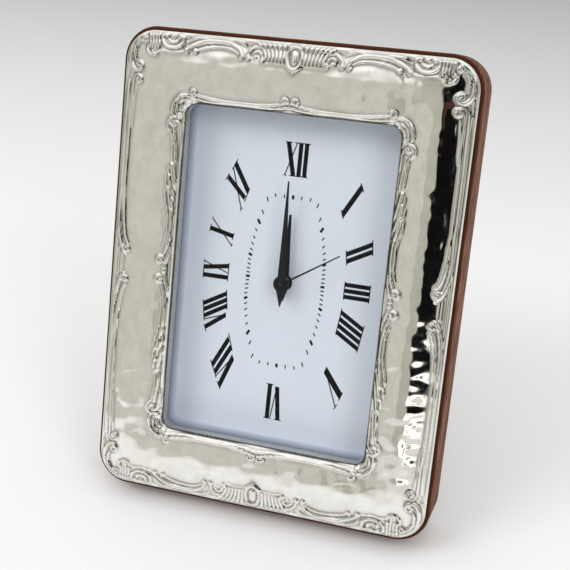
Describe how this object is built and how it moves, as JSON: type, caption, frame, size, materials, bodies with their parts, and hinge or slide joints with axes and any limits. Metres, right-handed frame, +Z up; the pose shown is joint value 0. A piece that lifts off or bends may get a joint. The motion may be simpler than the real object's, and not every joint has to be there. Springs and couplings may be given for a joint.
{
  "type": "photo frame clock",
  "caption": "Table clock built like a photo frame: embossed silver front on a leaning wooden frame, tall Roman dial behind glass, quartz movement, easel strut behind.",
  "frame": {"origin": "on the table, in the middle of the clock's footprint box", "axes": "+Z up, -Y towards the reader of the dial, +X to the reader's right"},
  "size_m": [0.1556, 0.0906, 0.2041],
  "materials": {
    "silver": "polished, pressed relief",
    "mahogany": "dark satin lacquer",
    "clear_glass": "clear",
    "white_card": "matt",
    "dial_white": "matt bluish white, printed in black",
    "black_hand": "matt black",
    "fibreboard": "bare hardboard",
    "pine": "bare planed wood",
    "back_board": "dark stained board",
    "brass": "plain",
    "steel": "bright zinc plated",
    "black_case": "fine texture",
    "white_gear": "natural moulded",
    "black_knob": "ribbed",
    "copper_wire": "enamelled winding",
    "soft_iron": "dull",
    "circuit_green": "lacquered laminate",
    "chip_black": "matt",
    "ferrite": "matt",
    "spring_steel": "nickel plated",
    "cell_jacket": "plain grey jacket"
  },
  "bodies": {
    "clock": {"silver_front": "silver", "wood_frame": "mahogany", "glass_pane": "clear_glass", "spacer_frame": "white_card", "dial_plate": "dial_white", "backboard": "fibreboard", "packing_frame": "pine", "back_panel": "back_board", "turn_button_screws": "brass", "hinge_fixed_leaf": "brass", "hinge_pin": "steel", "hinge_panel_screws": "brass", "movement_front_case": "black_case", "movement_rear_case": "black_case", "middle_plate": "white_gear", "centre_bush": "brass", "fixing_washer": "steel", "fixing_nut": "brass", "stator_plate": "soft_iron", "coil_core": "soft_iron", "coil_bobbin": "white_gear", "coil_winding": "copper_wire", "circuit_board": "circuit_green", "quartz_crystal": "spring_steel", "timing_chip": "chip_black", "contact_minus": "spring_steel", "contact_plus": "spring_steel"},
    "strut": {"strut_leg": "back_board", "hinge_moving_leaf": "brass", "hinge_leg_screws": "brass"},
    "minute_group": {"minute_hand": "black_hand", "cannon_pinion": "white_gear"},
    "hour_group": {"hour_hand": "black_hand", "hour_wheel": "white_gear"},
    "minute_wheel_group": {"minute_wheel": "white_gear"},
    "setting_group": {"setting_knob": "black_knob", "setting_pinion": "white_gear"},
    "second_group": {"second_hand": "black_hand", "seconds_arbor": "steel", "seconds_wheel": "white_gear"},
    "third_group": {"third_wheel": "white_gear"},
    "centre_group": {"centre_wheel": "white_gear"},
    "intermediate_group": {"intermediate_wheel": "white_gear"},
    "rotor_group": {"rotor_pinion": "white_gear", "rotor_magnet": "ferrite"},
    "cell": {"battery_cell": "cell_jacket"},
    "button_upper_left": {"turn_button_upper_left": "brass"},
    "button_upper_right": {"turn_button_upper_right": "brass"},
    "button_lower_left": {"turn_button_lower_left": "brass"},
    "button_lower_right": {"turn_button_lower_right": "brass"}
  },
  "joints": [
    {"name": "minute_hand_turn", "type": "hinge", "parent": "clock", "child": "minute_group", "pos_m": [0, 0.00699, 0.09861], "axis": [0, 0.9505, -0.3107], "continuous": true},
    {"name": "hour_hand_turn", "type": "hinge", "parent": "clock", "child": "hour_group", "pos_m": [0, 0.00699, 0.09861], "axis": [0, 0.9505, -0.3107], "continuous": true},
    {"name": "minute_wheel_turn", "type": "hinge", "parent": "clock", "child": "minute_wheel_group", "pos_m": [0, 0.00916, 0.10527], "axis": [0, 0.9505, -0.3107], "continuous": true},
    {"name": "setting_knob_turn", "type": "hinge", "parent": "clock", "child": "setting_group", "pos_m": [0.0045, 0.01083, 0.11036], "axis": [0, 0.9505, -0.3107], "continuous": true},
    {"name": "second_hand_turn", "type": "hinge", "parent": "clock", "child": "second_group", "pos_m": [0, 0.00699, 0.09861], "axis": [0, 0.9505, -0.3107], "continuous": true},
    {"name": "third_wheel_turn", "type": "hinge", "parent": "clock", "child": "third_group", "pos_m": [-0.00789, 0.00755, 0.10035], "axis": [0, 0.9505, -0.3107], "continuous": true},
    {"name": "centre_wheel_turn", "type": "hinge", "parent": "clock", "child": "centre_group", "pos_m": [0, 0.00699, 0.09861], "axis": [0, 0.9505, -0.3107], "continuous": true},
    {"name": "intermediate_wheel_turn", "type": "hinge", "parent": "clock", "child": "intermediate_group", "pos_m": [0.00541, 0.00638, 0.09674], "axis": [0, 0.9505, -0.3107], "continuous": true},
    {"name": "rotor_turn", "type": "hinge", "parent": "clock", "child": "rotor_group", "pos_m": [0.01036, 0.00709, 0.09893], "axis": [0, 0.9505, -0.3107], "continuous": true},
    {"name": "strut_fold", "type": "hinge", "parent": "clock", "child": "strut", "pos_m": [0, 0.00209, 0.05498], "axis": [-1, 0, 0], "range_deg": [0, 36]},
    {"name": "button_turn_upper_left", "type": "hinge", "parent": "clock", "child": "button_upper_left", "pos_m": [-0.0555, 0.02838, 0.13896], "axis": [0, 0.9505, -0.3107], "continuous": true},
    {"name": "button_turn_upper_right", "type": "hinge", "parent": "clock", "child": "button_upper_right", "pos_m": [0.0555, 0.02838, 0.13896], "axis": [0, 0.9505, -0.3107], "continuous": true},
    {"name": "button_turn_lower_left", "type": "hinge", "parent": "clock", "child": "button_lower_left", "pos_m": [-0.0555, 0.00104, 0.05532], "axis": [0, 0.9505, -0.3107], "continuous": true},
    {"name": "button_turn_lower_right", "type": "hinge", "parent": "clock", "child": "button_lower_right", "pos_m": [0.0555, 0.00104, 0.05532], "axis": [0, 0.9505, -0.3107], "continuous": true},
    {"name": "battery_slide", "type": "slide", "parent": "clock", "child": "cell", "axis": [0, 0.9505, -0.3107], "range_m": [0, 0.018]}
  ],
  "couplings": [
    {"joint": "minute_wheel_turn", "follows": "minute_hand_turn", "ratio": -0.33333},
    {"joint": "hour_hand_turn", "follows": "minute_hand_turn", "ratio": 0.083333},
    {"joint": "setting_knob_turn", "follows": "minute_hand_turn", "ratio": 1},
    {"joint": "second_hand_turn", "follows": "rotor_turn", "ratio": 0.033333},
    {"joint": "intermediate_wheel_turn", "follows": "rotor_turn", "ratio": -0.16667},
    {"joint": "third_wheel_turn", "follows": "rotor_turn", "ratio": -0.0044444},
    {"joint": "centre_wheel_turn", "follows": "rotor_turn", "ratio": 0.00055556}
  ]
}
